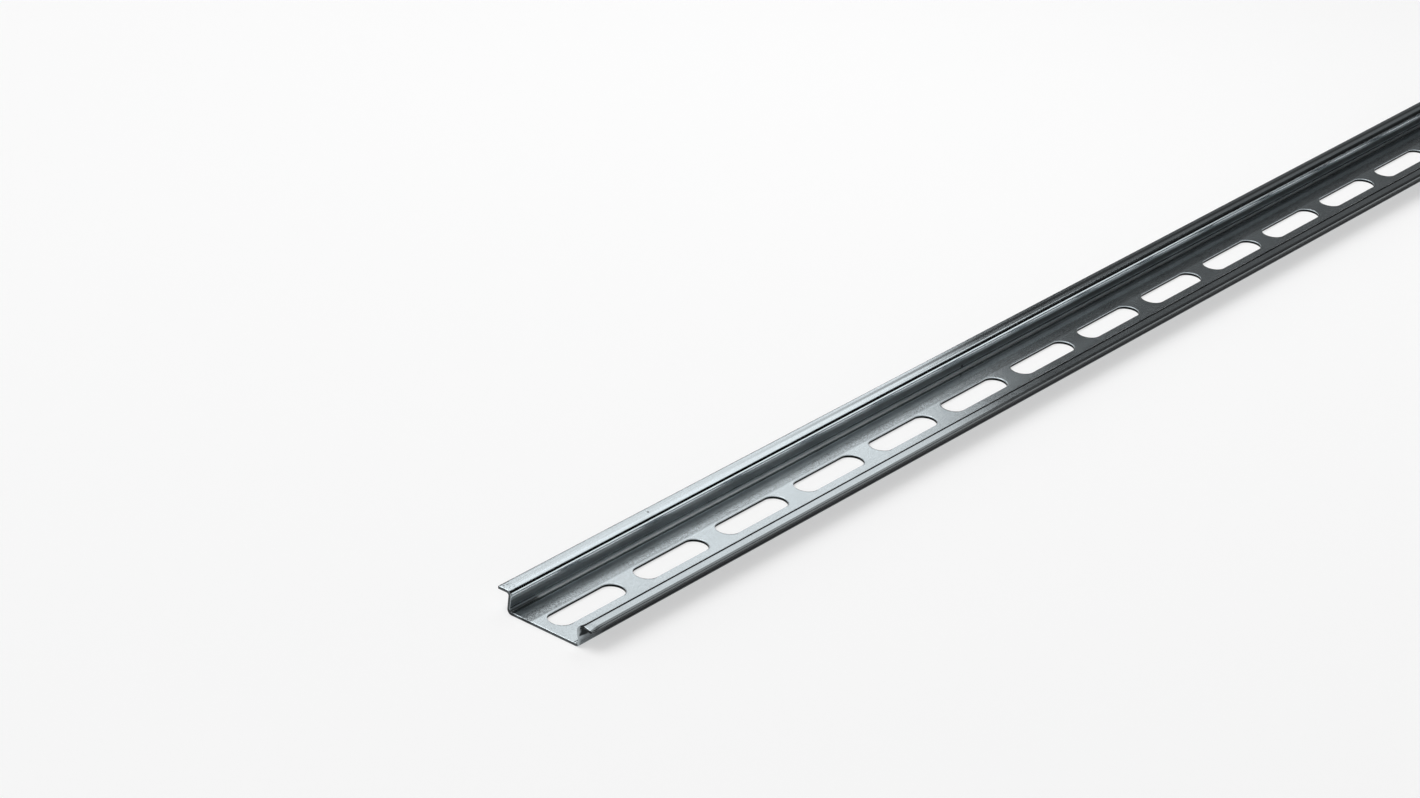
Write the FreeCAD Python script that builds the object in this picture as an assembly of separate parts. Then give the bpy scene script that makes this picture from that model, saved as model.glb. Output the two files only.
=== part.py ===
"""A perforated top-hat mounting rail: one strip of zinc-plated steel, bent along its whole length.

The strip forms a shallow channel with a flange turned out along each side, and one row of slots with
round ends is punched through the floor of the channel. Lengths are in millimetres. The rail lies along X,
its open side faces +Z, and the origin is the middle of the back of the floor.
"""
import FreeCAD, Part
import math
import os

# The bent section
RAIL_LENGTH = 1000.0
WIDTH_OVER_FLANGES = 35.0
WIDTH_OVER_WALLS = 27.0
RAIL_HEIGHT = 7.5
SHEET_THICKNESS = 1.0
BEND_INSIDE_RADIUS = 0.8
FLANGE_EDGE_RADIUS = 0.3

# The row of slots, centred on the length, with the rail cut off midway between two of them
SLOT_PITCH = 40.0
SLOT_LENGTH = 32.0
SLOT_WIDTH = 8.0
SLOT_RIM_CHAMFER = 0.25

# How far the punch reaches past each face of the floor
PUNCH_OVERRUN = 1.0


def section_point(across, up):
    """A point of the section at the rail's left end, from its distance across the rail and its height."""
    return FreeCAD.Vector(-RAIL_LENGTH / 2, across, up)


def rounded_path(corners, radius):
    """An open wire through the corners, each inner corner replaced by a tangent arc of the radius."""
    edges = []
    start = corners[0]
    for before, corner, after in zip(corners, corners[1:], corners[2:]):
        to_before = (before - corner).normalize()
        to_after = (after - corner).normalize()
        half_angle = to_before.getAngle(to_after) / 2
        setback = radius / math.tan(half_angle)
        bisector = (to_before + to_after).normalize()
        arc_start = corner + to_before * setback
        arc_middle = corner + bisector * (radius / math.sin(half_angle) - radius)
        arc_end = corner + to_after * setback
        edges.append(Part.LineSegment(start, arc_start).toShape())
        edges.append(Part.Arc(arc_start, arc_middle, arc_end).toShape())
        start = arc_end
    edges.append(Part.LineSegment(start, corners[-1]).toShape())
    return Part.Wire(edges)


def sheet_middle_line():
    """The middle of the sheet's thickness, from one flange's edge down through the floor to the other's."""
    half_sheet = SHEET_THICKNESS / 2
    edge = WIDTH_OVER_FLANGES / 2
    wall = WIDTH_OVER_WALLS / 2 - half_sheet
    floor = half_sheet
    flange = RAIL_HEIGHT - half_sheet
    corners = [
        section_point(-edge, flange),
        section_point(-wall, flange),
        section_point(-wall, floor),
        section_point(wall, floor),
        section_point(wall, flange),
        section_point(edge, flange),
    ]
    return rounded_path(corners, BEND_INSIDE_RADIUS + half_sheet)


def section_face():
    """The section: the middle line thickened by half the sheet to either side and closed at the edges."""
    middle = sheet_middle_line()
    half_sheet = SHEET_THICKNESS / 2
    upper = middle.makeOffset2D(half_sheet, openResult=True)
    lower = middle.makeOffset2D(-half_sheet, openResult=True)
    upper_ends = [vertex.Point for vertex in (upper.OrderedVertexes[0], upper.OrderedVertexes[-1])]
    lower_ends = [vertex.Point for vertex in (lower.OrderedVertexes[0], lower.OrderedVertexes[-1])]
    flange_edges = [Part.LineSegment(a, b).toShape() for a, b in zip(upper_ends, lower_ends)]
    outline = Part.Wire(Part.sortEdges(upper.Edges + lower.Edges + flange_edges)[0])
    return Part.Face(outline)


def is_flange_edge(edge):
    """True for the four long edges at the outer sides of the flanges."""
    box = edge.BoundBox
    at_side = abs(abs(box.Center.y) - WIDTH_OVER_FLANGES / 2) < SHEET_THICKNESS / 4
    return at_side and box.XLength > RAIL_LENGTH / 2


def formed_strip():
    """The bent strip before punching, with the slit edges of its flanges rounded."""
    strip = section_face().extrude(FreeCAD.Vector(RAIL_LENGTH, 0, 0))
    return strip.makeFillet(FLANGE_EDGE_RADIUS, [edge for edge in strip.Edges if is_flange_edge(edge)])


def slot_centres():
    """Where the slots are along the rail: as many whole pitches as the length holds, centred on it."""
    count = int(RAIL_LENGTH // SLOT_PITCH)
    return [(index - (count - 1) / 2) * SLOT_PITCH for index in range(count)]


def slot_punch(centre):
    """The round-ended bar that is punched through the floor at one place along the rail."""
    radius = SLOT_WIDTH / 2
    straight = SLOT_LENGTH / 2 - radius
    level = -PUNCH_OVERRUN

    def at(along, across):
        return FreeCAD.Vector(centre + along, across, level)

    outline = Part.Wire([
        Part.LineSegment(at(-straight, -radius), at(straight, -radius)).toShape(),
        Part.Arc(at(straight, -radius), at(straight + radius, 0), at(straight, radius)).toShape(),
        Part.LineSegment(at(straight, radius), at(-straight, radius)).toShape(),
        Part.Arc(at(-straight, radius), at(-straight - radius, 0), at(-straight, -radius)).toShape(),
    ])
    return Part.Face(outline).extrude(FreeCAD.Vector(0, 0, SHEET_THICKNESS + 2 * PUNCH_OVERRUN))


def is_slot_rim(edge):
    """True for the edges round the slots on the open side of the floor, where the punch went in."""
    box = edge.BoundBox
    on_floor = box.ZLength < SLOT_RIM_CHAMFER and abs(box.Center.z - SHEET_THICKNESS) < SLOT_RIM_CHAMFER
    in_row = max(abs(box.YMin), abs(box.YMax)) < SLOT_WIDTH / 2 + SLOT_RIM_CHAMFER
    return on_floor and in_row


def rail():
    """The finished rail: the bent strip with its row of slots, their rims bevelled where the punch went in."""
    punched = formed_strip().cut([slot_punch(centre) for centre in slot_centres()])
    return punched.makeChamfer(SLOT_RIM_CHAMFER, [edge for edge in punched.Edges if is_slot_rim(edge)])


os.makedirs("parts", exist_ok=True)
rail().exportStep("parts/rail.step")
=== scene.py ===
import math

import bmesh
import bpy
from bpy.props import FloatProperty, FloatVectorProperty, IntProperty, PointerProperty
from mathutils import Matrix, Vector


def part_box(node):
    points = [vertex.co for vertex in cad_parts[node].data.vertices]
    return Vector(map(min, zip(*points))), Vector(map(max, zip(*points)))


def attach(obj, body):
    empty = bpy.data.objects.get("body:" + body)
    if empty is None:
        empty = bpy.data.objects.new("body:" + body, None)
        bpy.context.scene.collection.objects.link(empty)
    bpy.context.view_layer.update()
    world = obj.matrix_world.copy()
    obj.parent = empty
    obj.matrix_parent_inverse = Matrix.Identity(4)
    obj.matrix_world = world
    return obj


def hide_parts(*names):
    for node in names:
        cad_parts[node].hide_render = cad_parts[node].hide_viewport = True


bl_info = {
    "name": "DIN rail",
    "version": (1, 0, 0),
    "blender": (4, 5, 0),
    "location": "3D View > Sidebar > DIN Rail",
    "description": "Slotted top-hat mounting rail of zinc-plated steel, with its stage",
    "category": "Object",
}

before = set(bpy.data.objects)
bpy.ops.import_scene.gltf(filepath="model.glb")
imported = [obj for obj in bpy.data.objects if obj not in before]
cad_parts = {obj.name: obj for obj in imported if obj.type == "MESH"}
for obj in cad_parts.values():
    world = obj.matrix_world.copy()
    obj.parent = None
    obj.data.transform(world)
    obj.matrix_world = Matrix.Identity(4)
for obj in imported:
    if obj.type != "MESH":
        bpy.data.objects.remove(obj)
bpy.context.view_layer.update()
RAIL_LOW, RAIL_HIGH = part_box("rail")

MM = 0.001
IMAGE_WIDTH = 1420
IMAGE_HEIGHT = 798
SENSOR_WIDTH = 36.0
# Tolerances in metres: for cutting across the mesh, and for finding its vertices by their place
SAME_PLACE = 1e-7
WITHIN = 1e-5


# Sizes and colours a user would change

class RailSizes(bpy.types.PropertyGroup):
    length: FloatProperty(
        name="Length", description="Length of the strip",
        default=RAIL_HIGH.x - RAIL_LOW.x, unit="LENGTH")
    width: FloatProperty(
        name="Width over flanges", description="From the outer edge of one flange to the other",
        default=RAIL_HIGH.y - RAIL_LOW.y, unit="LENGTH")
    height: FloatProperty(
        name="Height", description="From the back of the floor to the top of the flanges",
        default=RAIL_HIGH.z - RAIL_LOW.z, unit="LENGTH")
    walls: FloatProperty(
        name="Width over walls", description="Outside width of the channel",
        default=27.0 * MM, unit="LENGTH")
    sheet: FloatProperty(
        name="Sheet", description="Thickness of the steel strip",
        default=1.0 * MM, unit="LENGTH")
    bend: FloatProperty(
        name="Foot bends", description="Inside radius of the two bends at the floor",
        default=0.8 * MM, unit="LENGTH")
    top_bend: FloatProperty(
        name="Top bends", description="Inside radius of the two bends at the flanges",
        default=0.8 * MM, unit="LENGTH")
    slot_pitch: FloatProperty(
        name="Slot pitch", description="From the middle of one slot to the next",
        default=40.0 * MM, unit="LENGTH")
    slot_length: FloatProperty(
        name="Slot length", description="Length of a slot over its round ends",
        default=32.0 * MM, unit="LENGTH")
    slot_width: FloatProperty(
        name="Slot width", description="Width of a slot",
        default=8.0 * MM, unit="LENGTH")
    slot_roll: FloatProperty(
        name="Slot rim", description="How far the punch draws the rim of a slot down",
        default=0.35 * MM, unit="LENGTH")
    flange_round: FloatProperty(
        name="Flange edge", description="Rounding of the flanges' outer edges",
        default=0.25 * MM, unit="LENGTH")
    flange_drop: FloatProperty(
        name="Flange drop", description="How far a flange's outer edge curves down",
        default=0.015 * MM, unit="LENGTH")
    end_round: FloatProperty(
        name="Cut end", description="Rounding of the edges of the two cut ends",
        default=0.16 * MM, unit="LENGTH")
    corner_droop: FloatProperty(
        name="Corner droop", description="How far the shear pressed one flange's corner down",
        default=0.45 * MM, unit="LENGTH")
    wall_bulge: FloatProperty(
        name="Wall bulge", description="How far the shear pressed that side's bend inwards",
        default=0.7 * MM, unit="LENGTH")
    bend_steps: IntProperty(
        name="Bend steps", description="Faces round each bend", default=12, min=3)
    slot_steps: IntProperty(
        name="Slot steps", description="Faces round each slot end", default=32, min=6)


class RailFinish(bpy.types.PropertyGroup):
    zinc: FloatVectorProperty(
        name="Zinc", description="Colour of the plating",
        default=(0.665, 0.735, 0.77), size=3, min=0, max=1, subtype="COLOR")
    # Bare cut steel, darkened almost to black as painted shade
    sheared_and_shade: FloatVectorProperty(
        name="Cut steel", description="Colour of the punched and sheared faces",
        default=(0.012, 0.014, 0.014), size=3, min=0, max=1, subtype="COLOR")
    # Painted highlight: a light colour laid on the lower foot bends and the far slit edge in place
    # of their highlights
    painted_highlight: FloatVectorProperty(
        name="Burnished", description="Colour of the plating that the rolls pressed bright",
        default=(0.95, 0.98, 1.0), size=3, min=0, max=1, subtype="COLOR")
    # This colour is laid on for stains and specks, and also as painted shade in the folds, along
    # the crests, under the flanges and along the far part
    grime_and_shade: FloatVectorProperty(
        name="Grime", description="Colour of the dirt in the folds",
        default=(0.025, 0.029, 0.03), size=3, min=0, max=1, subtype="COLOR")
    roughness: FloatProperty(
        name="Roughness", description="Roughness of the plating", default=0.17, min=0, max=1)
    grain: FloatProperty(
        name="Grain", description="Depth of the plating's fine grain",
        default=0.02 * MM, unit="LENGTH", precision=6)
    streak: FloatProperty(
        name="Rolling marks", description="Depth of the lengthwise rolling marks",
        default=0.012 * MM, unit="LENGTH", precision=6)


class StageLook(bpy.types.PropertyGroup):
    floor: FloatVectorProperty(
        name="Floor", description="Colour of the floor",
        default=(0.9, 0.9, 0.9), size=3, min=0, max=1, subtype="COLOR")
    white: FloatProperty(
        name="White ground", description="How far the seen floor is plain white",
        default=0.5, min=0, max=1)
    white_mirrored: FloatProperty(
        name="White in metal", description="How far the mirrored floor is plain white",
        default=0.15, min=0, max=1)
    surround: FloatProperty(
        name="Surround", description="Brightness of the room round the lamps",
        default=0.02, min=0)
    wall: FloatProperty(
        name="Pale wall", description="Brightness of the room's wall behind the near end",
        default=1.05, min=0)
    azimuth: FloatProperty(
        name="Camera azimuth", description="Turn of the view from the rail's own line",
        default=math.radians(34.27), subtype="ANGLE")
    elevation: FloatProperty(
        name="Camera elevation", description="Angle of the view below level",
        default=math.radians(26.55), subtype="ANGLE")
    roll: FloatProperty(
        name="Camera roll", description="Turn of the picture round its middle",
        default=math.radians(-6.49), subtype="ANGLE")
    lens: FloatProperty(
        name="Lens", description="Focal length of the camera", default=115.4, unit="CAMERA")
    distance: FloatProperty(
        name="Camera distance", description="Depth of the near end in front of the camera",
        default=1297.8 * MM, unit="LENGTH")
    near_pixel: FloatVectorProperty(
        name="Near end", description="Pixel at which the middle of the near end shows",
        default=(543.05, 630.77), size=2)


# The rail's mesh

# Strips of faces up a wall and across a flange
WALL_STRIPS = 5
FLANGE_STRIPS = 5
# Cuts across the mesh at the near end, in mm from it, so that the shear's marks can bend it there
NEAR_END_CUTS_MM = (0.5, 1.0, 1.5, 2.0, 2.6, 3.3, 4.1, 5.0, 6.5, 9.0)
# Width of the ring of faces round a slot, in depths of its rolled rim
RIM_RING = 1.5
# Faces across the rounding of a slot's rim, a flange's edge and a cut end
RIM_SEGMENTS = 4
FLANGE_SEGMENTS = 4
END_SEGMENTS = 3
# An edge that turns by more than this is a corner to round; one that turns less is shaded smooth
SHARP_CORNER = math.radians(60)
SMOOTH_UP_TO = math.radians(40)
# The part of a face's normal that tells level faces, cut ends, slots' sides and slit edges
LEVEL_FACE = 0.99
END_FACE = 0.9
SLOT_FACE = 0.3
SLIT_FACE = 0.6
# How bare the steel is, and how dark it is painted as painted shade by which way each face turns:
# in a slot, on a cut end, on the end of the near wall, on a slit edge
BARE_STEEL_AND_SHADE_MARK = "cut_steel_and_shade"
SLOT_MARK = 1.0
CUT_END_MARK = 0.88
CUT_CORNER_MARK = 0.35
SLIT_EDGE_MARK = 0.25
# How far the shear's marks reach along the rail, and where the wall's is
DROOP_REACH = 4.6 * MM
BULGE_REACH = 2.6 * MM
BULGE_LEVEL = 5.2 * MM
BULGE_HALF_HEIGHT = 3.4 * MM


def made_by(bm, action):
    """Runs an action and gives the vertices and edges that it added."""
    old_verts = set(bm.verts)
    old_edges = set(bm.edges)
    action()
    verts = [v for v in bm.verts if v not in old_verts]
    edges = [e for e in bm.edges if e not in old_edges]
    return verts, edges


def verts_of(geometry):
    """The vertices of what an operator gave back."""
    return [g for g in geometry if isinstance(g, bmesh.types.BMVert)]


def edges_of(geometry):
    """The edges of what an operator gave back."""
    return [g for g in geometry if isinstance(g, bmesh.types.BMEdge)]


def slot_outline(bm, half_run, radius, level, steps):
    """Edges of a round-ended outline: a vertex spun half a turn, and that arc turned round."""
    def arc():
        start = bm.verts.new((half_run, -radius, level))
        bmesh.ops.spin(
            bm, geom=[start], cent=(half_run, 0, level), axis=(0, 0, 1), dvec=(0, 0, 0),
            angle=math.pi, steps=steps, use_duplicate=False)

    verts, edges = made_by(bm, arc)
    turned = bmesh.ops.duplicate(bm, geom=verts + edges)["geom"]
    half_turn = Matrix.Rotation(math.pi, 3, "Z")
    bmesh.ops.rotate(bm, verts=verts_of(turned), cent=(0, 0, level), matrix=half_turn)
    open_ends = [v for v in verts + verts_of(turned) if len(v.link_edges) == 1]
    sides = [bm.edges.new([v for v in open_ends if v.co.y * side > 0]) for side in (-1, 1)]
    return edges + edges_of(turned) + sides


def floor_cell(bm, sizes, level, half_floor):
    """One pitch of the floor round one slot."""
    radius = sizes.slot_width / 2
    half_run = sizes.slot_length / 2 - radius
    ring_radius = radius + RIM_RING * sizes.slot_roll
    rim = slot_outline(bm, half_run, radius, level, sizes.slot_steps)
    ring = slot_outline(bm, half_run, ring_radius, level, sizes.slot_steps)
    bmesh.ops.bridge_loops(bm, edges=rim + ring)
    plate = bmesh.ops.create_grid(bm, x_segments=1, y_segments=1, size=0.5)["verts"]
    bmesh.ops.scale(bm, verts=plate, vec=(sizes.slot_pitch, 2 * half_floor, 1))
    bmesh.ops.translate(bm, verts=plate, vec=(0, 0, level))
    plain = plate[0].link_faces[0]
    border = plain.edges[:]
    bmesh.ops.delete(bm, geom=[plain], context="FACES_ONLY")
    bmesh.ops.triangle_fill(bm, edges=ring + border, use_beauty=True, normal=(0, 0, 1))


def along_edges(bm, y, z):
    """The long edges that lie at one place in the section."""
    def there(v):
        return abs(v.co.y - y) < WITHIN and abs(v.co.z - z) < WITHIN
    return [e for e in bm.edges if all(there(v) for v in e.verts)]


def raised_side(bm, sizes, side):
    """One side of the section from the floor's edge: foot bend, wall, top bend and flange."""
    inner = sizes.bend
    outer = sizes.top_bend + sizes.sheet
    wall = sizes.walls / 2 - sizes.sheet
    foot_axis = Vector((0, side * (wall - inner), sizes.sheet + inner))
    top_axis = Vector((0, side * (wall + outer), sizes.height - outer))
    flange = sizes.width / 2 - wall - outer
    edges = along_edges(bm, foot_axis.y, sizes.sheet)
    edges = spun(bm, edges, foot_axis, side * math.pi / 2, sizes.bend_steps)
    for _ in range(WALL_STRIPS):
        edges = drawn(bm, edges, (0, 0, (top_axis.z - foot_axis.z) / WALL_STRIPS))
    edges = spun(bm, edges, top_axis, -side * math.pi / 2, sizes.bend_steps)
    for strip in range(FLANGE_STRIPS):
        drop = sizes.flange_drop * (2 * strip + 1) / FLANGE_STRIPS ** 2
        edges = drawn(bm, edges, (0, side * flange / FLANGE_STRIPS, -drop))


def spun(bm, edges, axis_point, angle, steps):
    """Bends a strip off the edges, round a line along the rail, and gives its last edges."""
    last = bmesh.ops.spin(
        bm, geom=edges, cent=axis_point, axis=(1, 0, 0), dvec=(0, 0, 0),
        angle=angle, steps=steps, use_duplicate=False)["geom_last"]
    return edges_of(last)


def drawn(bm, edges, vec):
    """Draws a flat strip of faces off the edges and gives its last edges."""
    new = bmesh.ops.extrude_edge_only(bm, edges=edges)["geom"]
    bmesh.ops.translate(bm, verts=verts_of(new), vec=vec)
    return edges_of(new)


def rail_mesh(sizes):
    """The bent and punched sheet as a closed mesh, at its place in the frame."""
    bm = bmesh.new()
    wall = sizes.walls / 2 - sizes.sheet
    half_floor = wall - sizes.bend
    floor_cell(bm, sizes, sizes.sheet, half_floor)
    count = int(sizes.length / sizes.slot_pitch + WITHIN)
    cell = bm.verts[:] + bm.edges[:] + bm.faces[:]
    bmesh.ops.translate(bm, verts=bm.verts, vec=(-(count - 1) / 2 * sizes.slot_pitch, 0, 0))
    for k in range(1, count):
        more = bmesh.ops.duplicate(bm, geom=cell)["geom"]
        bmesh.ops.translate(bm, verts=verts_of(more), vec=(k * sizes.slot_pitch, 0, 0))
    bmesh.ops.remove_doubles(bm, verts=bm.verts, dist=WITHIN)
    for side in (-1, 1):
        raised_side(bm, sizes, side)
    bmesh.ops.remove_doubles(bm, verts=bm.verts, dist=WITHIN)
    for cut in NEAR_END_CUTS_MM:
        bmesh.ops.bisect_plane(
            bm, geom=bm.verts[:] + bm.edges[:] + bm.faces[:], dist=SAME_PLACE,
            plane_co=(-sizes.length / 2 + cut * MM, 0, 0), plane_no=(1, 0, 0))
    bmesh.ops.recalc_face_normals(bm, faces=bm.faces)
    if sum(f.normal.z * f.calc_area() for f in bm.faces) < 0:
        bmesh.ops.reverse_faces(bm, faces=bm.faces)
    bmesh.ops.solidify(bm, geom=bm.faces[:], thickness=sizes.sheet)
    bmesh.ops.recalc_face_normals(bm, faces=bm.faces)
    return bm


def soften(bm, edges, offset, segments):
    """Rounds the edges."""
    bmesh.ops.bevel(
        bm, geom=edges, offset=offset, offset_type="OFFSET", affect="EDGES",
        segments=segments, profile=0.5, material=-1, clamp_overlap=True)


def is_level(face):
    """True for a face of the sheet's upper or lower side where it lies flat."""
    return abs(face.normal.z) > LEVEL_FACE


def is_corner(edge):
    """True for an edge sharp enough to be rounded."""
    return edge.calc_face_angle(0) > SHARP_CORNER


def finish_edges(bm, sizes):
    """Rolls the slots' rims over and rounds the flanges' edges and the cut ends."""
    half_slot = sizes.slot_width / 2
    rims = [
        e for e in bm.edges
        if len(e.link_faces) == 2
        and all(abs(v.co.y) < half_slot + WITHIN for v in e.verts)
        and all(abs(v.co.z - sizes.sheet) < WITHIN for v in e.verts)
        and sorted(is_level(f) for f in e.link_faces) == [False, True]
        and abs(e.verts[0].co.x) < sizes.length / 2 - WITHIN]
    soften(bm, rims, sizes.slot_roll, RIM_SEGMENTS)
    tip = sizes.width / 2 - sizes.flange_round
    flange = [
        e for e in bm.edges
        if all(abs(v.co.y) > tip for v in e.verts)
        and abs(e.verts[0].co.x - e.verts[1].co.x) > WITHIN
        and is_corner(e)]
    soften(bm, flange, sizes.flange_round, FLANGE_SEGMENTS)
    end = sizes.length / 2 - WITHIN
    outline = [e for e in bm.edges if all(abs(v.co.x) > end for v in e.verts) and is_corner(e)]
    soften(bm, outline, sizes.end_round, END_SEGMENTS)


def mark_cut_faces(bm, sizes):
    """Marks how bare the steel is in the slots, on the cut ends and on the slit edges, with painted
    shade that differs by which way a face turns.
    """
    mark = bm.faces.layers.float.new(BARE_STEEL_AND_SHADE_MARK)
    half_slot = sizes.slot_width / 2 + WITHIN
    end = sizes.length / 2 - sizes.end_round
    slit = sizes.width / 2 - sizes.flange_round

    def in_slot(place):
        return abs(place.y) < half_slot and place.z < sizes.sheet

    for face in bm.faces:
        middle = face.calc_center_median()
        if abs(face.normal.x) > END_FACE and abs(middle.x) > end:
            near_wall = -sizes.walls / 2 < middle.y < sizes.sheet - sizes.walls / 2
            face[mark] = CUT_CORNER_MARK if near_wall else CUT_END_MARK
        elif in_slot(middle) and abs(face.normal.z) < SLOT_FACE:
            face[mark] = SLOT_MARK
        elif abs(face.normal.y) > SLIT_FACE and abs(middle.y) > slit:
            face[mark] = SLIT_EDGE_MARK


def eased(value):
    """Runs from 0 to 1 as the value does, and is level at both ends."""
    value = min(max(value, 0.0), 1.0)
    return value * value * (3 - 2 * value)


def press_near_end(bm, sizes):
    """The shear's marks: the near flange's corner pressed down, and its wall pressed inwards."""
    root = sizes.walls / 2
    for v in bm.verts:
        from_end = v.co.x + sizes.length / 2
        if from_end > DROOP_REACH or v.co.y > 0:
            continue
        out = eased((-v.co.y - root) / (sizes.width / 2 - root))
        v.co.z -= sizes.corner_droop * out * eased(1 - from_end / DROOP_REACH)
        near = eased(1 - from_end / BULGE_REACH)
        tall = eased(1 - abs(v.co.z - BULGE_LEVEL) / BULGE_HALF_HEIGHT)
        v.co.y += sizes.wall_bulge * near * tall


def rail_object(sizes):
    """The rail as an object, with its cut edges sharp and the rest shaded smooth."""
    bm = rail_mesh(sizes)
    finish_edges(bm, sizes)
    mark_cut_faces(bm, sizes)
    press_near_end(bm, sizes)
    mesh = bpy.data.meshes.new("zinc_rail")
    for face in bm.faces:
        face.smooth = True
    bm.to_mesh(mesh)
    bm.free()
    mesh.set_sharp_from_angle(angle=SMOOTH_UP_TO)
    piece = bpy.data.objects.new("zinc_rail", mesh)
    bpy.context.scene.collection.objects.link(piece)
    even = piece.modifiers.new("Even shading", "WEIGHTED_NORMAL")
    even.keep_sharp = True
    return piece


# Shader helpers

# The share of a round spot's radius that is as dark as its middle
SPOT_CORE = 0.4


class Socket:
    """An output socket that takes part in Python arithmetic."""

    def __init__(self, finish, socket):
        self.finish = finish
        self.socket = socket

    def math(self, operation, *values):
        """A Math node on the values."""
        made = self.finish.tree.nodes.new("ShaderNodeMath")
        made.operation = operation
        for index, value in enumerate(values):
            self.finish.feed(made.inputs[index], value)
        return Socket(self.finish, made.outputs[0])

    def __add__(self, other):
        return self.math("ADD", self, other)

    def __radd__(self, other):
        return self.math("ADD", other, self)

    def __sub__(self, other):
        return self.math("SUBTRACT", self, other)

    def __rsub__(self, other):
        return self.math("SUBTRACT", other, self)

    def __mul__(self, other):
        return self.math("MULTIPLY", self, other)

    def __rmul__(self, other):
        return self.math("MULTIPLY", other, self)

    def __abs__(self):
        return self.math("ABSOLUTE", self)

    def ramp(self, low, high, to_low=0.0, to_high=1.0):
        """Runs smoothly from to_low to to_high as the value goes from low to high."""
        made = self.finish.node(
            "ShaderNodeMapRange", {"interpolation_type": "SMOOTHSTEP"},
            {0: self, 1: low, 2: high, 3: to_low, 4: to_high})
        return Socket(self.finish, made.outputs[0])


class Finish:
    """The node tree of a material, or of the world, in the making."""

    def __init__(self, owner, out_kind="ShaderNodeOutputMaterial"):
        owner.use_nodes = True
        self.owner = owner
        self.tree = owner.node_tree
        self.tree.nodes.clear()
        self.out = self.tree.nodes.new(out_kind)

    def feed(self, target, value):
        """Links a socket to the target, or sets it to a number, vector or colour."""
        if isinstance(value, Socket):
            self.tree.links.new(value.socket, target)
        elif isinstance(value, bpy.types.NodeSocket):
            self.tree.links.new(value, target)
        else:
            target.default_value = value

    def node(self, kind, settings=None, sockets=None):
        """Makes a node: its settings first, then its sockets by name or number."""
        made = self.tree.nodes.new(kind)
        for name, value in (settings or {}).items():
            setattr(made, name, value)
        for key, value in (sockets or {}).items():
            self.feed(made.inputs[key], value)
        return made

    def place(self):
        """The x, y and z of the point in the piece's own frame, and the point itself."""
        point = self.node("ShaderNodeTexCoord").outputs["Object"]
        parts = self.node("ShaderNodeSeparateXYZ", sockets={0: point})
        return [Socket(self, s) for s in parts.outputs] + [Socket(self, point)]

    def joined(self, x, y, z):
        """A vector or a colour from its three parts."""
        made = self.node("ShaderNodeCombineXYZ", sockets={0: x, 1: y, 2: z})
        return Socket(self, made.outputs[0])

    def noise(self, vector, scale, detail, roughness):
        """A noise, mostly between 0.3 and 0.7."""
        made = self.node(
            "ShaderNodeTexNoise", {"noise_dimensions": "3D"},
            {"Vector": vector, "Scale": scale, "Detail": detail, "Roughness": roughness})
        return Socket(self, made.outputs["Fac"])

    def blend(self, factor, one, other):
        """The one colour, and the other where the factor is 1."""
        made = self.node("ShaderNodeMix", {"data_type": "RGBA"}, {0: factor, 6: one, 7: other})
        return Socket(self, made.outputs[2])

    def spot(self, point, place, radius):
        """A round spot at a place, 1 in its middle and 0 outside."""
        made = self.node("ShaderNodeVectorMath", {"operation": "DISTANCE"}, {0: point, 1: place})
        return Socket(self, made.outputs["Value"]).ramp(radius, radius * SPOT_CORE)

    def attribute(self, name):
        """A number that the mesh's faces carry."""
        made = self.node("ShaderNodeAttribute", {"attribute_name": name})
        return Socket(self, made.outputs["Fac"])


def rgba(colour):
    """The colour, opaque."""
    return (*colour, 1.0)


# The rail's finish

# Each noise: the share of the rail's length that it sees (a small one draws it out into streaks),
# then its scale, detail and roughness
NOISES = {
    "streaks": (0.012, 1500.0, 3.0, 0.65),
    "bands": (0.002, 800.0, 1.0, 0.5),
    "grain": (1.0, 2700.0, 2.0, 0.6),
    "clouds": (1.0, 90.0, 3.0, 0.55),
    "mottle": (1.0, 900.0, 2.0, 0.6),
}
# An edge of a zone: what is measured, where the zone has faded out, where it is full and, if the
# distance from a line is measured, that line. All in mm: along from the near end, across to the far
# side, aside to either side of the middle, and level over the back.
ON_FLOOR = ("level", 1.6, 1.2)
ON_FLANGE = ("level", 6.9, 7.2)
FLANGE_TOP = ("level", 7.2, 7.4)
CREST_LEVEL = ("level", 6.6, 6.9)
ON_FAR_WALL = ("across", 11.0, 12.0)
PAST_STAIN = ("along", 9.0, 13.0)
FADE_ALONG = ("along", 90.0, 320.0)
FOOT = [("level", 2.0, 1.9), ("level", 1.02, 1.06)]
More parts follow.
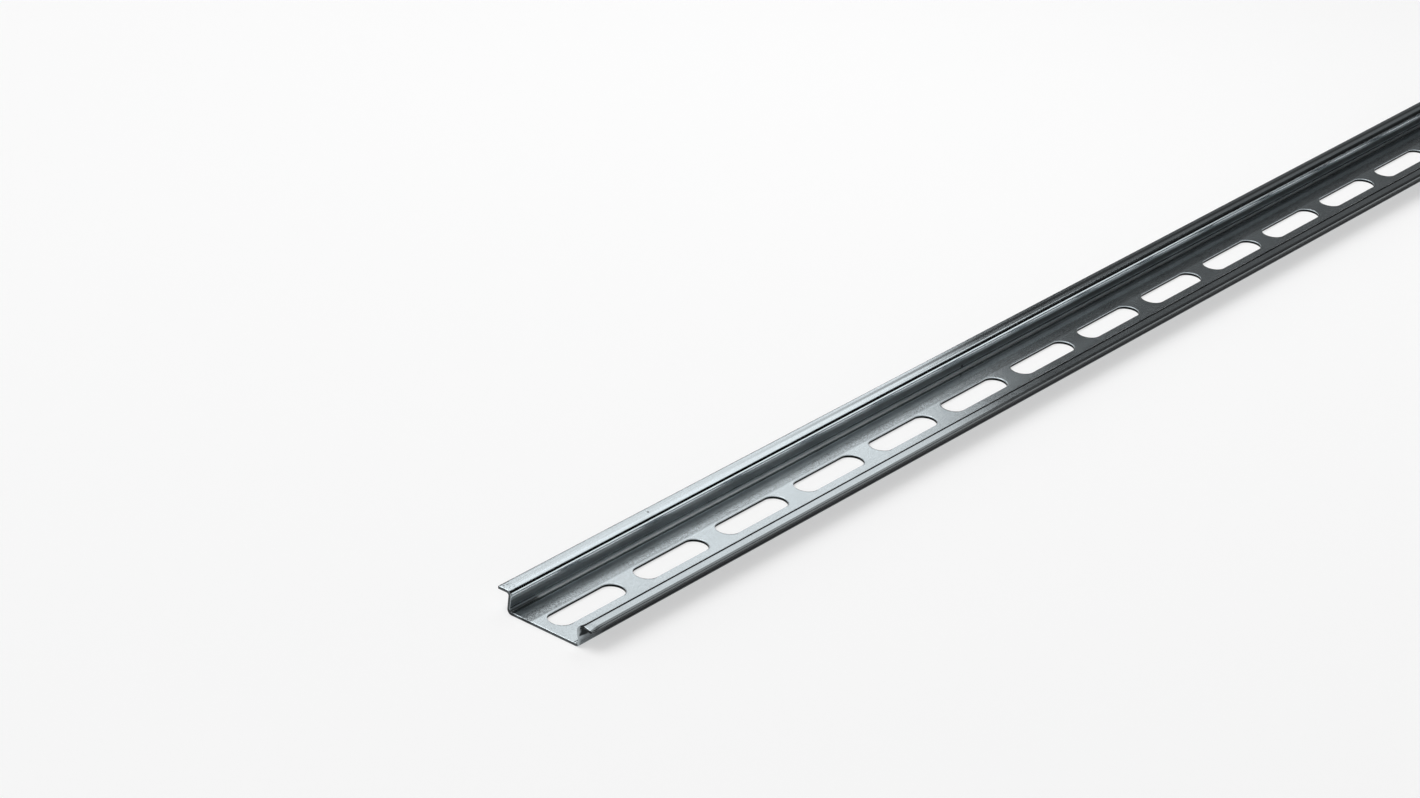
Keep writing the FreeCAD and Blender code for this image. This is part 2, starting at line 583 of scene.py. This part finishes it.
# A zone is where all its edges meet
ZONES_MM = {
    "floor": [ON_FLOOR],
    "wall": [("level", 1.9, 2.6), ("level", 6.0, 5.3)],
    "flange": [ON_FLANGE],
    "foot": FOOT,
    "crease": [("level", 0.6, 0.0, 4.6), ON_FAR_WALL],
    "torn": [("level", 0.85, 0.65)],
    "bright_foot": FOOT + [("level", 1.4, 1.3), PAST_STAIN],
    "far_slit": [("across", 17.15, 17.35)],
    "outside": [("aside", 13.0, 13.4), ("level", 6.2, 5.0)],
    "outside_low": [("level", 2.6, 1.2)],
    "near_flange": [("across", -13.6, -14.4), FLANGE_TOP],
    "fold": [("aside", 0.24, 0.10, 11.17), ON_FLOOR, ("level", 0.9, 0.95)],
    "near_slit": [("across", -16.3, -16.6)],
    "near_crest": [("across", -12.6, -12.9), ("across", -14.45, -14.1), CREST_LEVEL],
    "far_crest": [("across", 12.6, 12.75), ("across", 13.35, 13.15), CREST_LEVEL],
    "shaded_run": [("across", 0.9, 0.2, 15.7), ON_FLANGE, ("along", 80.0, 230.0)],
    "far_corner": [("across", 9.6, 10.6), ON_FLOOR, FADE_ALONG],
    "far_wall": [("level", 1.7, 0.6, 3.9), ON_FAR_WALL, FADE_ALONG],
    "foot_top": FOOT + [("level", 1.3, 1.4), ("level", 1.95, 1.85), PAST_STAIN],
    "mottle": [("across", 13.6, 14.2), FLANGE_TOP, ("along", 5.0, 1.5)],
    "shaded_floor": [("across", 2.3, 1.3, 6.4), ON_FLOOR],
    "speckle": [("across", 3.4, 1.9, 7.4), ON_FLOOR],
    "stain": [("along", 14.0, 11.5), ("across", 8.5, 11.5), ("level", 1.75, 1.35)],
    "notch": [
        ("across", -12.6, -13.0), ("level", 3.4, 4.0), ("level", 6.9, 6.5), ("along", 5.0, 2.5)],
    "slit_low": [("across", -17.1, -17.3), ("level", 7.05, 6.85)],
}
# Dark specks: along from the near end, across, level and radius
SPECKS_MM = ((67.7, 15.5, 7.5, 0.5), (230.9, 12.5, 2.7, 0.7))

# Depth of the marks: the grain's as a share of its full depth on the floor and on the raised
# parts, the others' in depths of a rolling mark
GRAIN_ON_FLOOR = 0.7
GRAIN_ON_RAISED = 0.25
STREAKS_ON_FLOOR = 0.15
BANDS_ON_WALL = 9.0
CREASE_DEPTH = 4.5
# How much rougher than the plating each zone and the cut steel are, and how far noise varies it
ROUGHER = {"floor": 0.04, "foot": 0.15, "wall": 0.13}
CUT_ROUGHER = 0.2
ROUGHNESS_NOISE = 0.06
# How the noises shade the plating: the level of the noise that changes nothing, and its weight
EVEN = 0.5
STREAK_TONE = 0.4
CLOUD_TONE = 0.3
BAND_EVEN = 0.45
BAND_TONE = 0.5
GRAIN_EVEN = 0.44
GRAIN_TONE_ON_FLOOR = 0.45
GRAIN_TONE_ON_FLANGE = 0.3
# How much lighter the far side is painted than the middle, as painted light, then the span of the
# tones, and the darkest one
FAR_SIDE_PAINTED_LIGHT = 0.11
TONES = (-0.25, 0.25)
DARKEST = 0.7
# Between these marks bare steel comes to be a slot's side, which is plated down to its torn part
SLOT_MARKS = (0.9, 0.97)
# How bright the far slit edge's painted highlight is; the foot's painted highlight is full
FAR_SLIT_BRIGHT = 0.8
# How far painted shade darkens the zones that it covers evenly
PAINTED_SHADE = {
    "near_flange": 0.12,
    "fold": 0.88,
    "near_slit": 0.65,
    "near_crest": 0.95,
    "far_crest": 0.65,
    "shaded_run": 0.65,
    "far_corner": 0.7,
    "far_wall": 0.6,
    "foot_top": 0.4,
}
# The painted shade on the outside of the walls, under the flanges: less at the near end, and a
# little more low down
OUTSIDE_ALONG = ("along", 1.0, 14.0)
OUTSIDE_SHADE = (0.55, 0.9)
OUTSIDE_LOW_SHADE = 0.08
# The painted shade in a run along the floor's far side: more at the near end, and speckled by the
# grain
SHADED_FLOOR_ALONG = ("along", 6.0, 20.0)
SHADED_FLOOR_SHARES = (0.588, 0.42)
SPECKLE_DIRT = 2.0
# Dirt in patches: the levels of the noise between which it starts, and its share
MOTTLE_PATCHES = (0.5, 0.62)
MOTTLE_DIRT = 0.6
# The stain's patches: the grain's part in them, their growth per mm across, and their start
STAIN_PATCHES = (0.55, 1.0)
STAIN_DIRT = 0.85
STAIN_GRAIN = 0.8
STAIN_ACROSS = 0.12 / MM
STAIN_START = 1.4
# Painted shade on the lower part of the near flange's outer edge
SLIT_LOW_SHADE = 0.9


class RailSurface:
    """The rail's surface as the finish sees it: its places, zones and noises."""

    def __init__(self, finish):
        self.finish = finish
        self.x, y, z, self.point = finish.place()
        self.measures = {"along": self.x - RAIL_LOW.x, "across": y, "aside": abs(y), "level": z}
        self.noises = {name: self.noise(*numbers) for name, numbers in NOISES.items()}

    def noise(self, share, scale, detail, roughness):
        """A noise drawn out along the rail."""
        place = self.finish.joined(
            self.x * share, self.measures["across"], self.measures["level"])
        return self.finish.noise(place, scale, detail, roughness)

    def edge(self, measure, faded, full, line=None, shares=(0.0, 1.0)):
        """Runs between two shares as what is measured goes from faded to full."""
        value = self.measures[measure]
        if line is not None:
            value = abs(value - line * MM)
        return value.ramp(faded * MM, full * MM, *shares)

    def zone(self, name):
        """1 inside a zone and 0 outside."""
        first, *others = [self.edge(*edge) for edge in ZONES_MM[name]]
        return math.prod(others, start=first)


def relief(rail, look):
    """Height of the surface's fine marks."""
    on_floor = rail.zone("floor")
    raised = 1.0 - on_floor
    grain = on_floor * (GRAIN_ON_FLOOR * look.grain) + raised * (GRAIN_ON_RAISED * look.grain)
    streaks = raised * look.streak + on_floor * (STREAKS_ON_FLOOR * look.streak)
    bands = rail.zone("wall") * (BANDS_ON_WALL * look.streak)
    crease = rail.zone("crease") * (CREASE_DEPTH * look.streak)
    noises = rail.noises
    return noises["grain"] * grain + noises["streaks"] * streaks + noises["bands"] * bands + crease


def roughness_of(rail, look, cut):
    """Roughness of the plating and of the cut steel."""
    roughness = look.roughness + cut * CUT_ROUGHER
    for name, more in ROUGHER.items():
        roughness = roughness + rail.zone(name) * more
    for name in ("streaks", "clouds"):
        roughness = roughness + (rail.noises[name] - EVEN) * ROUGHNESS_NOISE
    return roughness


def plating_colour(rail, look):
    """The zinc between its darker and its plain tone, with painted light toward the far side and a
    painted highlight on the foot bends and the far slit edge.
    """
    on_floor = rail.zone("floor")
    noises = rail.noises
    grain_tone = on_floor * GRAIN_TONE_ON_FLOOR + rail.zone("flange") * GRAIN_TONE_ON_FLANGE
    # The last term is painted light: the far side lighter, the near side darker
    tone = (noises["streaks"] - EVEN) * STREAK_TONE * (1.0 - on_floor) \
        + (noises["bands"] - BAND_EVEN) * BAND_TONE * rail.zone("wall") \
        + (noises["clouds"] - EVEN) * CLOUD_TONE \
        + (noises["grain"] - GRAIN_EVEN) * grain_tone \
        + rail.measures["across"] * (FAR_SIDE_PAINTED_LIGHT / RAIL_HIGH.y)
    darkest = rgba([c * DARKEST for c in look.zinc])
    plating = rail.finish.blend(tone.ramp(*TONES), darkest, rgba(look.zinc))
    # Painted highlight on the lower foot bends and on the far slit edge
    painted_highlight = rail.zone("bright_foot") + rail.zone("far_slit") * FAR_SLIT_BRIGHT
    return rail.finish.blend(painted_highlight, plating, rgba(look.painted_highlight))


def dirt_and_shade_share(rail):
    """How far the plating is darkened: painted shade in the folds, along the crests, on the
    flanges' edges, under the flanges and along the far part, and stains, patches and specks.
    """
    grain, clouds, mottle = [rail.noises[name] for name in ("grain", "clouds", "mottle")]
    near, far = OUTSIDE_SHADE
    far = far + rail.zone("outside_low") * OUTSIDE_LOW_SHADE
    shade_and_dirt = rail.zone("outside") * rail.edge(*OUTSIDE_ALONG, shares=(near, far))
    for name, share in PAINTED_SHADE.items():
        shade_and_dirt = shade_and_dirt + rail.zone(name) * share
    shade_and_dirt = shade_and_dirt + rail.zone("mottle") * mottle.ramp(*MOTTLE_PATCHES) * MOTTLE_DIRT \
        + rail.zone("shaded_floor") * rail.edge(*SHADED_FLOOR_ALONG, shares=SHADED_FLOOR_SHARES) \
        + rail.zone("speckle") * (grain - EVEN) * SPECKLE_DIRT
    patches = clouds + grain * STAIN_GRAIN + rail.measures["across"] * STAIN_ACROSS - STAIN_START
    marks = [
        rail.zone("stain") * STAIN_DIRT * patches.ramp(*STAIN_PATCHES),
        rail.zone("notch"),
        rail.zone("slit_low") * SLIT_LOW_SHADE]
    for along, across, level, radius in SPECKS_MM:
        place = (RAIL_LOW.x + along * MM, across * MM, level * MM)
        marks.append(rail.finish.spot(rail.point, place, radius * MM))
    for mark in marks:
        shade_and_dirt = shade_and_dirt.math("MAXIMUM", shade_and_dirt, mark)
    return shade_and_dirt


def zinc_material(look):
    """Rolled zinc plating: lengthwise marks, fine grain, bare cut faces darkened as painted shade,
    stains, painted shade in the folds and under the flanges, and painted highlights.
    """
    zinc = Finish(bpy.data.materials.new("zinc_plated_steel"))
    rail = RailSurface(zinc)
    mark = zinc.attribute(BARE_STEEL_AND_SHADE_MARK)
    plated_side = mark.ramp(*SLOT_MARKS) * (1.0 - rail.zone("torn"))
    cut = mark * (1.0 - plated_side)
    # Stains and painted shade darken the plating
    dirtied_and_shaded = zinc.blend(dirt_and_shade_share(rail), plating_colour(rail, look), rgba(look.grime_and_shade))
    # Bare steel, darkened by painted shade as far as its mark says
    colour = zinc.blend(cut, dirtied_and_shaded, rgba(look.sheared_and_shade))
    bump = zinc.node(
        "ShaderNodeBump",
        sockets={"Strength": 1.0, "Distance": 1.0, "Height": relief(rail, look)})
    shader = zinc.node(
        "ShaderNodeBsdfPrincipled", sockets={
            "Base Color": colour, "Metallic": 1.0, "Roughness": roughness_of(rail, look, cut),
            "Normal": bump.outputs[0]})
    zinc.feed(zinc.out.inputs["Surface"], shader.outputs[0])
    return zinc.owner


# Stage

# Each softbox: azimuth and elevation in degrees, distance, width and height in metres, and how
# bright a mirror would show it. They face a place this far along the rail from the near end.
SOFTBOXES = {
    "key": (120.0, 64.0, 4.0, 3.0, 3.0, 3.4),
    "back_left": (88.0, 20.0, 3.0, 1.8, 1.0, 1.0),
    "wall_strip": (-40.0, 9.8, 1.8, 0.7, 0.46, 1.35),
    "overhead": (90.0, 89.0, 3.0, 1.6, 1.6, 0.4),
}
LIT_LENGTH = 120.0 * MM
# Each panel: how far along the rail its mirror image ends, its width, its lower and upper edge over
# the mirrored ray, and its brightness. It stands this far out along that ray.
PANELS_MM = {
    "panel": (210.0, 450.0, -40.0, 110.0, 1.24),
    "upper_panel": (320.0, 450.0, 135.0, 540.0, 1.15),
    "far_panel": (1100.0, 670.0, -60.0, 320.0, 0.12),
}
PANEL_REACH = 500.0 * MM
# Between these parts of a direction along the rail, the dark room turns into its pale wall
PALE_WALL = (-0.05, -0.55)
FLOOR_SIZE = 12.0
FLOOR_CELLS = 4
FLOOR_GAP = 0.05 * MM
# The floor's faint clouds: their scale, detail and roughness, and the shade of the darker ones
FLOOR_CLOUDS = (3.0, 2.0, 0.5)
FLOOR_SHADE = 0.985
WHITE = (1.0, 1.0, 1.0, 1.0)


def camera_axes(look):
    """Right, down and forward of the camera, in the frame."""
    ca, sa = math.cos(look.azimuth), math.sin(look.azimuth)
    ce, se = math.cos(look.elevation), math.sin(look.elevation)
    forward = Vector((ca * ce, sa * ce, -se))
    level = Vector((sa, -ca, 0.0))
    upright = forward.cross(level)
    cr, sr = math.cos(look.roll), math.sin(look.roll)
    right = cr * level + sr * upright
    down = cr * upright - sr * level
    return right, down, forward


def focal_pixels(look):
    """The camera's focal length in pixels of the image."""
    return look.lens / SENSOR_WIDTH * IMAGE_WIDTH


def camera_place(look, near_end):
    """Where the camera stands for the near end to show at its pixel."""
    right, down, forward = camera_axes(look)
    across = (look.near_pixel[0] - IMAGE_WIDTH / 2) / focal_pixels(look)
    below = (look.near_pixel[1] - IMAGE_HEIGHT / 2) / focal_pixels(look)
    return near_end - look.distance * (across * right + below * down + forward)


def add_camera(look, near_end):
    """The camera at the photo's viewing angle."""
    right, down, forward = camera_axes(look)
    data = bpy.data.cameras.new("studio_camera")
    data.sensor_fit = "HORIZONTAL"
    data.sensor_width = SENSOR_WIDTH
    data.lens = look.lens
    camera = bpy.data.objects.new("studio_camera", data)
    turn = Matrix((right, -down, -forward)).transposed()
    camera.matrix_world = Matrix.Translation(camera_place(look, near_end)) @ turn.to_4x4()
    bpy.context.scene.collection.objects.link(camera)
    bpy.context.scene.camera = camera


def softbox(name, place, target, side_axis, width, height, brightness):
    """A rectangular lamp facing the target. Brightness is what a mirror would show of it."""
    data = bpy.data.lights.new(name, "AREA")
    data.shape = "RECTANGLE"
    data.size = width
    data.size_y = height
    data.energy = brightness * width * height * math.pi
    lamp = bpy.data.objects.new(name, data)
    back = (place - target).normalized()
    across = (side_axis - side_axis.dot(back) * back).normalized()
    turn = Matrix((across, back.cross(across), back)).transposed()
    lamp.matrix_world = Matrix.Translation(place) @ turn.to_4x4()
    lamp.visible_camera = False
    bpy.context.scene.collection.objects.link(lamp)


def toward(azimuth, elevation):
    """The direction at an azimuth and elevation in degrees."""
    a, e = math.radians(azimuth), math.radians(elevation)
    return Vector((math.cos(a) * math.cos(e), math.sin(a) * math.cos(e), math.sin(e)))


def reflected(look, near_end, along):
    """The point so far along the rail's top, and where the camera's ray goes on from it."""
    point = near_end + Vector((along, 0, RAIL_HIGH.z))
    ray = (point - camera_place(look, near_end)).normalized()
    return point, Vector((ray.x, ray.y, -ray.z))


def rising(ray):
    """Square to the ray and to the rail's own line, upwards."""
    return Vector((1, 0, 0)).cross(ray).normalized()


def add_lamps(look, near_end):
    """The softboxes round the rail, and the panels whose mirror images end along it."""
    middle = near_end + Vector((LIT_LENGTH, 0, 0))
    for name, (azimuth, elevation, distance, width, height, brightness) in SOFTBOXES.items():
        direction = toward(azimuth, elevation)
        level = Vector((-direction.y, direction.x, 0))
        softbox(name, middle + distance * direction, middle, level, width, height, brightness)
    start, start_ray = reflected(look, near_end, 0.0)
    for name, (lit, width, low, high, brightness) in PANELS_MM.items():
        stop, stop_ray = reflected(look, near_end, lit * MM)
        edge = stop + PANEL_REACH * stop_ray
        inward = start + PANEL_REACH * start_ray - edge
        inward -= inward.dot(stop_ray) * stop_ray
        inward.normalize()
        raised = (low + high) / 2 * MM * rising(stop_ray)
        place = edge + inward * width * MM / 2 + raised
        tall = (high - low) * MM
        softbox(name, place, place - stop_ray, inward, width * MM, tall, brightness)


def add_world(look):
    """A dark room whose wall behind the near end is pale."""
    room = Finish(bpy.data.worlds.new("room"), "ShaderNodeOutputWorld")
    direction = room.node("ShaderNodeTexCoord").outputs["Generated"]
    parts = room.node("ShaderNodeSeparateXYZ", sockets={0: direction})
    pale = Socket(room, parts.outputs[0]).ramp(*PALE_WALL)
    level = pale * (look.wall - look.surround) + look.surround
    colour = room.joined(level, level, level)
    background = room.node(
        "ShaderNodeBackground", sockets={"Color": colour, "Strength": 1.0})
    room.feed(room.out.inputs["Surface"], background.outputs[0])
    bpy.context.scene.world = room.owner


def floor_material(look):
    """Pale matt paint that shows as nearly plain white to the camera, and less so in the metal."""
    paint = Finish(bpy.data.materials.new("studio_floor"))
    *_, point = paint.place()
    clouds = paint.noise(point, *FLOOR_CLOUDS)
    darker = rgba([c * FLOOR_SHADE for c in look.floor])
    colour = paint.blend(clouds, darker, rgba(look.floor))
    shader = paint.node("ShaderNodeBsdfDiffuse", sockets={"Color": colour, "Roughness": 0.0})
    white = paint.node("ShaderNodeEmission", sockets={"Color": WHITE, "Strength": 1.0})
    path = paint.node("ShaderNodeLightPath")
    seen = Socket(paint, path.outputs["Is Camera Ray"])
    mirrored = Socket(paint, path.outputs["Is Glossy Ray"])
    through = Socket(paint, path.outputs["Is Transmission Ray"])
    share = seen * look.white + (mirrored + through) * look.white_mirrored
    mixed = paint.node(
        "ShaderNodeMixShader", sockets={0: share, 1: shader.outputs[0], 2: white.outputs[0]})
    paint.feed(paint.out.inputs["Surface"], mixed.outputs[0])
    paint.owner.cycles.emission_sampling = "NONE"
    return paint.owner


def add_floor(look):
    """The floor, just under the rail's back."""
    bm = bmesh.new()
    bmesh.ops.create_grid(
        bm, x_segments=FLOOR_CELLS, y_segments=FLOOR_CELLS, size=FLOOR_SIZE / 2)
    bmesh.ops.translate(bm, verts=bm.verts, vec=(0, 0, RAIL_LOW.z - FLOOR_GAP))
    mesh = bpy.data.meshes.new("studio_floor")
    bm.to_mesh(mesh)
    bm.free()
    floor = bpy.data.objects.new("studio_floor", mesh)
    floor.data.materials.append(floor_material(look))
    bpy.context.scene.collection.objects.link(floor)


# Operators and panel

class DINRAIL_OT_rail(bpy.types.Operator):
    """Make the slotted rail with its zinc finish"""
    bl_idname = "dinrail.rail"
    bl_label = "Make rail"

    def execute(self, context):
        piece = rail_object(context.scene.rail_sizes)
        piece.data.materials.append(zinc_material(context.scene.rail_finish))
        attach(piece, "root")
        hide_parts("rail")
        return {"FINISHED"}


class DINRAIL_OT_stage(bpy.types.Operator):
    """Make the floor, the lamps and the camera"""
    bl_idname = "dinrail.stage"
    bl_label = "Make stage"

    def execute(self, context):
        look = context.scene.stage_look
        near_end = Vector((RAIL_LOW.x, 0, 0))
        add_camera(look, near_end)
        add_lamps(look, near_end)
        add_world(look)
        add_floor(look)
        context.scene.view_settings.view_transform = "Standard"
        return {"FINISHED"}


class DINRAIL_PT_panel(bpy.types.Panel):
    """Lists the sizes, the finish, the stage and their two operators"""
    bl_label = "DIN rail"
    bl_idname = "DINRAIL_PT_panel"
    bl_space_type = "VIEW_3D"
    bl_region_type = "UI"
    bl_category = "DIN Rail"

    def draw(self, context):
        layout = self.layout
        scene = context.scene
        for group in (scene.rail_sizes, scene.rail_finish, scene.stage_look):
            box = layout.box()
            for name in group.__annotations__:
                box.prop(group, name)
        for operator in (DINRAIL_OT_rail, DINRAIL_OT_stage):
            layout.operator(operator.bl_idname)


CLASSES = (RailSizes, RailFinish, StageLook, DINRAIL_OT_rail, DINRAIL_OT_stage, DINRAIL_PT_panel)


def register():
    for cls in CLASSES:
        bpy.utils.register_class(cls)
    bpy.types.Scene.rail_sizes = PointerProperty(type=RailSizes)
    bpy.types.Scene.rail_finish = PointerProperty(type=RailFinish)
    bpy.types.Scene.stage_look = PointerProperty(type=StageLook)


def unregister():
    del bpy.types.Scene.stage_look
    del bpy.types.Scene.rail_finish
    del bpy.types.Scene.rail_sizes
    for cls in reversed(CLASSES):
        bpy.utils.unregister_class(cls)


def main():
    """Makes the rail and its stage."""
    register()
    bpy.ops.dinrail.rail()
    bpy.ops.dinrail.stage()
    bpy.context.view_layer.update()


if __name__ == "__main__":
    main()
